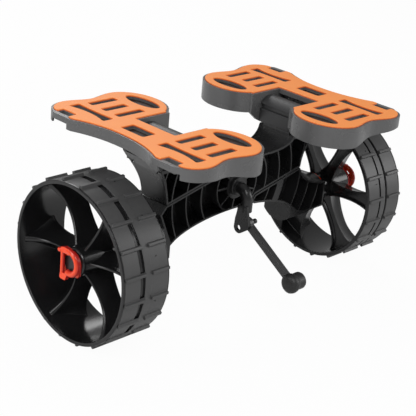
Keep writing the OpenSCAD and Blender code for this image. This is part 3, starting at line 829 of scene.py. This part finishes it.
# %% Round bars and flat parts
def rod(name, start, end, radius, steps=20, dome=0.35):
    """A round bar in millimetres from the axle's centre, with softened ends."""
    a, b = Vector(start), Vector(end)
    ahead, length = (b - a).normalized(), (b - a).length
    across = ahead.orthogonal().normalized()
    up = ahead.cross(across)
    reach = dome * radius
    rings = [(0, 1 - dome), (reach * 0.4, 1 - dome * 0.3), (reach, 1), (length - reach, 1),
             (length - reach * 0.4, 1 - dome * 0.3), (length, 1 - dome)]
    points = []
    for t, share in rings:
        for turn_by in (2 * pi * i / steps for i in range(steps)):
            out = across * cos(turn_by) + up * sin(turn_by)
            points.append(rest(*(a + ahead * t + out * radius * share)))
    return mesh_of(name, points, tube_faces(len(rings), steps))


def slab_x(name, side, outline, low, high):
    """A prism along the axle; its outline is (across, up)."""
    return prism(name, outline, side * low, side * high, axis="X")


def arc(cx, cy, rx, ry, start, end, steps):
    """Points on an ellipse from one angle to another, both in degrees."""
    angles = [radians(start + (end - start) * i / steps) for i in range(steps + 1)]
    return [(cx + rx * cos(a), cy + ry * sin(a)) for a in angles]


def clip_plate_outline():
    """A horseshoe whose open jaws point down."""
    outer, jaw = arc(0, 0, 19, 19, 0, 180, 20), arc(0, 0, 9.7, 9.7, 180, 0, 15)
    return (outer + [(-19, -14), (-16, -17), (-9.7, -17)] + jaw
            + [(9.7, -17), (16, -17), (19, -14)])


def keep_painted_shade(mesh, shade_share_at):
    """Writes, for each point, how much of a finish's painted shade colour it gets."""
    shade = mesh.attributes.new("painted_shade_share", "FLOAT", "POINT")
    for vertex, value in zip(mesh.vertices, shade.data):
        value.value = shade_share_at(vertex)


# %% Whole clips
VOXEL = 0.45 * MM


def add_clip(label, side):
    """Every part of a clip, fused; painted shade makes it redder where it turns from the side."""
    front, back = LOOP_IN + LOOP_T - 1, LOOP_IN
    plate = slab_x("plate", side, clip_plate_outline(), CLIP_IN, CLIP_OUT)
    posts = [slab_x("post", side, outline, CLIP_OUT - 1, LOOP_IN + 2) for outline in (
        [(-19, -6), (-13.2, -6), (-13.2, 12), (-15, 12), (-19, 4)],
        [(13.2, -6), (16, -6), (16, 6), (14, 11), (13.2, 11)],
        [(-7, 13.5), (7, 13.5), (5, 18), (-5, 18)])]
    bridge = slab_x("bridge", side, [(-5, 16), (5, 16), (12, 15.5), (15, 18), (13, 23),
                                     (6, 25.4), (-5, 25.4)], back, front)
    foot = slab_x("foot", side, [(2, -25.5), (12, -26), (14.5, -24), (14, -18), (9, -15.5),
                                 (-3, -14)], back, front)
    bar = rod("bar", (side * (LOOP_IN + 3.4), 11.2, -20),
              (side * (LOOP_IN + 3.4), 11.2, 19), 3.3)
    roll = rod("roll", (side * (LOOP_IN - 0.5), 16.5, 17.5),
               (side * (LOOP_IN + LOOP_T), 16.5, 17.5), 3.4)
    solid = joined("clip", [clip_arch(side), bridge, foot, bar, roll, plate] + posts)
    fused = modified(solid, ("REMESH", {"mode": "VOXEL", "voxel_size": VOXEL}),
                     ("SMOOTH", {"factor": 0.5, "iterations": 6}))
    fused.shade_smooth()
    # painted shade: a deeper red on the faces that don't look along the axle
    keep_painted_shade(fused, lambda v: min(1, 1.5 * (1 - abs(v.normal.x)) ** 0.7))
    add_piece("pull_clip_" + label, fused, "clip_" + label, "clip_plastic",
              "wheel_clip_" + label)


for label, side in SIDES.items():
    add_clip(label, side)

# %% [markdown]
# ## Pad outlines
# Each pad is a waisted outline with two round lobes, a deep notch for the hinge and
# cut-outs through its soft skin. It is drawn for the right pad and turned half round
# for the left one. Only the rear half is drawn, out of arcs and waves, and mirrored.
# It's drawn in numbers, so that each slot can be moved or widened by itself.

# %% The skin's outline
PAD_TOP, SKIN_LOW, PLATE_TOP = 177.7, 174.6, 171.7
NOTCH_HALF = 43


def mirrored(points):
    """The same line in front of y = 0, run through the other way."""
    return [(x, -y) for x, y in reversed(points)]


def skin_outline():
    """Round a pad at the right: waist, strap's notch, corner, wave, lobe and hinge notch."""
    waist = [(215 + 19 * (i * 13 / 88) ** 2.2, i * 13) for i in range(1, 7)]
    strap = [(235, 90), (235, 99), (219, 99), (219, 129), (230.5, 129)]
    corner = arc(199, 130, 32, 28, 10, 90, 10)
    wave = [(199 - i * 7.6, 152.6 + 5.4 * cos(pi * i / 6)) for i in range(1, 7)]
    wave += [(153.4 - i * 9, 151.2 - 4 * cos(pi * i * 9 / 41)) for i in range(1, 5)]
    lobe = arc(112, 98.5, 46, 57, 90, 247, 20)
    upper = waist + strap + corner + wave + lobe + [(94, NOTCH_HALF), (156, NOTCH_HALF)]
    return [(215, 0)] + upper + [(156, 0)] + mirrored(upper)


# %% Cut-outs
def rounded(points, radius, steps=4):
    """An outline with its sharp corners turned into short arcs."""
    result, count = [], len(points)
    for i in range(count):
        before, here, after = (Vector(points[(i + n) % count]) for n in (-1, 0, 1))
        u, v = before - here, after - here
        bend = u.angle(v)
        if bend > radians(150):
            result.append(tuple(here))
            continue
        reach = min(radius / tan(bend / 2), u.length * 0.45, v.length * 0.45)
        start, end = here + u.normalized() * reach, here + v.normalized() * reach
        for n in range(steps + 1):
            t = n / steps
            result.append(tuple(start * (1 - t) ** 2 + here * 2 * t * (1 - t) + end * t ** 2))
    return result


SLOT_HALF = 6.6


def window_outlines():
    """The middle window, then an oval, three slots and a curved slot on each lobe."""
    windows = [rounded([(175, -24), (199.5, -24), (199.5, 24), (175, 24)], 3.5)]
    for s in (-1, 1):
        windows.append(arc(94.5, s * 96, 14.5, 35.5, 0, 352.5, 47))
        for x0, v in ((121, 65.5), (127, 96), (121, 127)):
            low, high = s * v - SLOT_HALF, s * v + SLOT_HALF
            windows.append(rounded([(x0, low), (172, low), (172, high), (x0, high)], 3))
        long_side = [(186 - 1.5 * ((v - 97) / 40) ** 2, s * v) for v in range(137, 56, -10)]
        windows.append(rounded([(197.5 + 6.5 * ((v - 97) / 40) ** 2, s * v)
                                for v in range(57, 138, 10)] + long_side, 3))
    return windows


WINDOWS = window_outlines()
print("cut-outs in a skin:", len(WINDOWS))

# %% [markdown]
# ## Soft skins
# The skin is a sheet of soft rubber a few millimetres thick. A flat curve of Blender's
# holds an outline with holes, and gives every edge the same round when it is made
# solid. The edges are painted a deeper orange than the top, as painted shade on the
# skin's sides, so each point keeps how far it lies below the top in an attribute,
# which the finish reads.

# %% Flat curves made solid
def plate_from_outlines(name, outlines, low, high, round_by):
    """A plate with holes, from low to high, whose edges are rounded by a radius."""
    data = bpy.data.curves.new(name, "CURVE")
    data.dimensions = "2D"
    data.fill_mode = "BOTH"
    for outline in outlines:
        spline = data.splines.new("POLY")
        spline.points.add(len(outline) - 1)
        for point, (x, y) in zip(spline.points, outline):
            point.co = (x * MM, y * MM, 0, 1)
        spline.use_cyclic_u = True
    data.extrude = (high - low) / 2 * MM - round_by * MM
    data.bevel_depth = round_by * MM
    data.bevel_resolution = 3
    data.offset = -round_by * MM
    mesh = baked(placed(name, data))
    mesh.transform(Matrix.Translation((0, 0, (low + high) / 2 * MM)))
    return mesh


def onto_side(mesh, side):
    """Moves a piece drawn round the origin to the axle, turned half round for the left."""
    if side < 0:
        mesh.transform(Matrix.Rotation(pi, 4, "Z"))
    mesh.transform(Matrix.Translation(AXLE))
    return outward(mesh)


def half_turned(mesh, side):
    """A piece that was drawn in its place at the right, at either side."""
    mesh.transform(Matrix.Translation(-AXLE))
    return onto_side(mesh, side)


# %% Skins
SIDE_SHADE_DROP = 2.2 * MM
for label, side in SIDES.items():
    skin = plate_from_outlines("skin", [rounded(skin_outline(), 2.5)] + WINDOWS, SKIN_LOW,
                               PAD_TOP, 1.1)
    skin = shaded(onto_side(skin, side), 50)
    top = AXLE.z + PAD_TOP * MM
    # painted shade: the skin turns a deeper orange on its sides, below its top
    keep_painted_shade(skin, lambda v: min(max((top - v.co.z) / SIDE_SHADE_DROP, 0), 1))
    piece = add_piece("soft_skin_" + label, skin, "pad_" + label, "pad_rubber",
                      "pad_skin_" + label)

# %% [markdown]
# ## Trays
# A tray is the hard grey shell under a skin. The solid's waist hangs too low and its
# cheeks reach too far in, so both are cut from its copy. A bed is added, which holds
# the skin, and a ribbed wall behind the hinge. Below each cut-out lies a well, whose
# floor is a plate of its own with a dark brown finish: painted shade, as in a deep recess.

# %% The bed's outline
def narrower_outline(by):
    """The skin's outline in millimetres, drawn in by a little all round."""
    points = skin_outline()
    count, result = len(points), []
    for i in range(count):
        before, here, after = (Vector(points[(i + n) % count]) for n in (-1, 0, 1))
        u, v = (here - before).normalized(), (after - here).normalized()
        normal = Vector((-(u.y + v.y), u.x + v.x))
        result.append(tuple(here + normal.normalized() * by / max(normal.length / 2, 0.6)))
    return result


# %% Well floors
WELL_LOW, WELL_HIGH = 170.3, 170.75


def well_floors(side):
    """A thin plate below each cut-out of a skin."""
    floors = [plate_from_outlines("floor", [rounded(window, 0.5)], WELL_LOW, WELL_HIGH, 0.1)
              for window in WINDOWS]
    return onto_side(joined("wells", floors), side)


# %% Trays
WAIST_CUT = [(163, 90), (163, 141), (181, 153.6), (216, 155.6), (216, 90)]
CHEEK_CUT = [(79, 110), (90.4, 110), (90.4, 180), (79, 180)]
WALL = [(166, 154), (169, 154), (169, 169), (166, 169)]
WALL_RIB = [(164.8, 155), (166.5, 155), (166.5, 169), (164.8, 169)]


def neck_wall():
    """The wall behind a hinge's cap, with thin ribs on the side of the cap."""
    ribs = [prism("rib", WALL_RIB, y - 0.8, y + 0.8) for y in range(-36, 37, 9)]
    return joined("neck_wall", [prism("wall", WALL, -42, 42)] + ribs)


for label, side in SIDES.items():
    cuts = [half_turned(prism("cut", outline, -reach, reach), side)
            for outline, reach in ((WAIST_CUT, 60), (CHEEK_CUT, 44.6))]
    tray = soften(carved(clean_copy("pad_tray_" + label), *cuts), 0.9, angle=38, segments=3)
    bed = plate_from_outlines("bed", [rounded(narrower_outline(0.25), 2)] + WINDOWS,
                              PLATE_TOP - 0.2, SKIN_LOW, 0.2)
    wall = soften(half_turned(neck_wall(), side), 0.3)
    tray = joined("tray", [tray, shaded(onto_side(bed, side), 40), wall])
    add_piece("pad_shell_" + label, tray, "pad_" + label, "tray_plastic", "pad_tray_" + label)
    # painted shade: the well floors are dark brown, as the shade in the recesses
    add_piece("well_floors_" + label, well_floors(side), "pad_" + label, "tray_plastic",
              painted="well_painted_shade")

# %% [markdown]
# ## Hinges
# Between the arm's saddle and the pad sits a block with a half-round cap. The cap is a
# segment of a cylinder on a narrower neck, so a dark groove runs round between them.
# Four prisms make that, and their bevels are wide enough to read as moulded radii.

# %% Hinge blocks and caps
CAP_X, CAP_Z, CAP_R, CAP_LOW = 130.5, 145, 24.6, 158.2
BLOCK_HALF = 39


def cap_outline():
    """The cap's arc; a straight line below closes it."""
    start = degrees(asin((CAP_LOW - CAP_Z) / CAP_R))
    return arc(CAP_X, CAP_Z, CAP_R, CAP_R, start, 180 - start, 28)


def box(side, low, high, half):
    """A box from one (x, z) corner to another, half its width to front and rear."""
    outline = [low, (high[0], low[1]), high, (low[0], high[1])]
    return half_turned(prism("box", outline, -half, half), side)


for label, side in SIDES.items():
    base = [box(side, (109.5, 128), (160, 150.5), BLOCK_HALF),
            box(side, (112, 124.9), (158, 129), 34)]
    cap = half_turned(prism("cap", cap_outline(), -BLOCK_HALF, BLOCK_HALF), side)
    top = [box(side, (113, 149), (148, 160), 36), cap]
    add_piece("hinge_base_" + label, soften(joined("base", base), 1.2, segments=3), "frame",
              "hinge_plastic", "hinge_block_" + label)
    add_piece("hinge_top_" + label, soften(joined("top", top), 0.8, segments=3), "frame",
              "hinge_plastic", "hinge_cap_" + label)

# %% [markdown]
# ## Stand
# The stand's bracket is a round arm that leaves the frame's boss, bends down and ends
# in a thin lug. The arm is a circle swept along a quarter bend: a ring of points at
# each station of the route, square to its direction. A curve with a round bevel would
# do the same, but its ends stay open.

# %% Bent arm
ARM_R, ARM_STEPS = 9.3, 28
BEND_R, BEND_Y = 16.5, -35
BOSS_Z = 62
PIVOT = (-58, 9)


def bent_arm():
    """The round arm, from the boss through a quarter bend down to the lug."""
    level = BOSS_Z - 1
    route = [(-29, level), (-34, level)]
    route += [(BEND_Y - BEND_R * sin(radians(a)),
               level - BEND_R + BEND_R * cos(radians(a))) for a in range(0, 91, 9)]
    route += [(BEND_Y - BEND_R, 36), (BEND_Y - BEND_R, 26.5)]
    across, points = Vector((1, 0, 0)), []
    for i, (y, z) in enumerate(route):
        before, after = route[max(i - 1, 0)], route[min(i + 1, len(route) - 1)]
        ahead = Vector((0, after[0] - before[0], after[1] - before[1])).normalized()
        up = across.cross(ahead)
        for t in (2 * pi * j / ARM_STEPS for j in range(ARM_STEPS)):
            out = across * cos(t) + up * sin(t)
            points.append(rest(*(Vector((0, y, z)) + out * ARM_R)))
    return mesh_of("arm", points, tube_faces(len(route), ARM_STEPS))


# %% Spigot and lug
LUG_LOW, LUG_HIGH = -9, -4.5
HOLE = (PIVOT[0] + 11, PIVOT[1] - 9)
SPIGOT = [(-33, 0.01), (-33, 14.5), (-32.2, 15.3), (-28.1, 15.3), (-28.1, 14), (29, 14),
          (29, 9), (39, 9), (40, 8), (40, 0.01)]


def lug():
    """A thin plate below the arm, rounded about the pivot and about the hole."""
    outline = [(-60.8, 38), (-66.5, 15)]
    outline += arc(PIVOT[0], PIVOT[1], 10, 10, 190, 238, 6)
    outline += arc(PIVOT[0] + 10.8, PIVOT[1] - 8.5, 9.6, 9.6, 238, 372, 16)
    outline += [(-38.6, 14), (-41.2, 26), (-42.2, 38)]
    return prism("lug", outline, LUG_LOW, LUG_HIGH, axis="X")


# %% Whole bracket
hole = lathe("hole", 1, [(-14, 0.01), (-14, 4.5), (14, 4.5), (14, 0.01)], 32, HOLE)
plate = soften(carved(lug(), hole), 0.9, segments=3)
spigot = shaded(lathe("spigot", 1, SPIGOT, 48, (0, BOSS_Z), axis="Y"), 40)
arm = soften(bent_arm(), 1.2, angle=50, segments=3)
add_piece("bent_bracket", joined("bracket", [arm, plate, spigot]), "frame",
          "frame_plastic", "stand_bracket")

# %% [markdown]
# ### Leg, foot and pin
# The leg's solid is right and only gets its radii. Its nylon is painted lighter than
# the frame's, as painted light for its lit top. The rubber foot bulges on one side and
# is a plain roller on the other, so it is turned from a profile. The pin ends inside
# the lug and has a small knob.

# %% Leg and foot
LEG_L, LEG_ANGLE = 118, radians(31)
FOOT = (PIVOT[0] - LEG_L * cos(LEG_ANGLE), PIVOT[1] - LEG_L * sin(LEG_ANGLE))
leg = soften(clean_copy("stand_leg"), 1.6, segments=3)
# painted light: the leg is lighter than the frame's black nylon, for its lit top
add_piece("rounded_stand_leg", leg, "stand", SLOT_OF["stand_leg"], "stand_leg",
          painted="leg_painted_light")
foot = lathe("foot", 1, [(-11, 0.01), (-11, 8.5), (-10.2, 12), (-7.5, 14.6), (-3, 15.6),
                         (1, 15), (4, 13.6), (6, 13.2), (17, 13.2), (18.6, 12.4), (19, 11),
                         (19, 0.01)], 56, FOOT)
add_piece("rubber_foot", shaded(foot, 45), "stand", SLOT_OF["stand_foot"], "stand_foot")

# %% Pin
blind = prism("blind", [(-80, -20), (-30, -20), (-30, 40), (-80, 40)], -20, -7, axis="X")
pin = soften(carved(clean_copy("stand_pivot_pin"), blind), 0.5)
knob = lathe("knob", 1, [(7.6, 0.01), (7.6, 3), (12.4, 3), (13, 4), (17.4, 4), (18, 3.4),
                         (18, 0.01)], 24, PIVOT)
add_piece("knob_pin", joined("pin", [pin, shaded(knob, 40)]), "stand",
          SLOT_OF["stand_pivot_pin"], "stand_pivot_pin", painted="foot_rubber")

# %% [markdown]
# ## The remaining solids
# The bushes, pins, screws and nut that are left already have their true form. Each
# gets rounded edges and its finish, and one loop over the record finds them, so that
# no solid of the frame is left undressed.

# %% Remaining solids
ROUNDING, NUT_ROUNDING = 0.4, 0.8
DONE = ("frame_half", "wheel_body", "tread", "wheel_clip", "pad_", "hinge_block",
        "hinge_cap", "stand_bracket", "stand_leg", "stand_foot", "stand_pivot_pin")
for row in frame["record"]["subparts"]:
    node = row["node"]
    if not node.startswith(DONE):
        width = NUT_ROUNDING if node == "stand_lock_nut" else ROUNDING
        add_piece("rounded_" + node, soften(clean_copy(node), width), BODY_OF[node],
                  SLOT_OF[node], node)
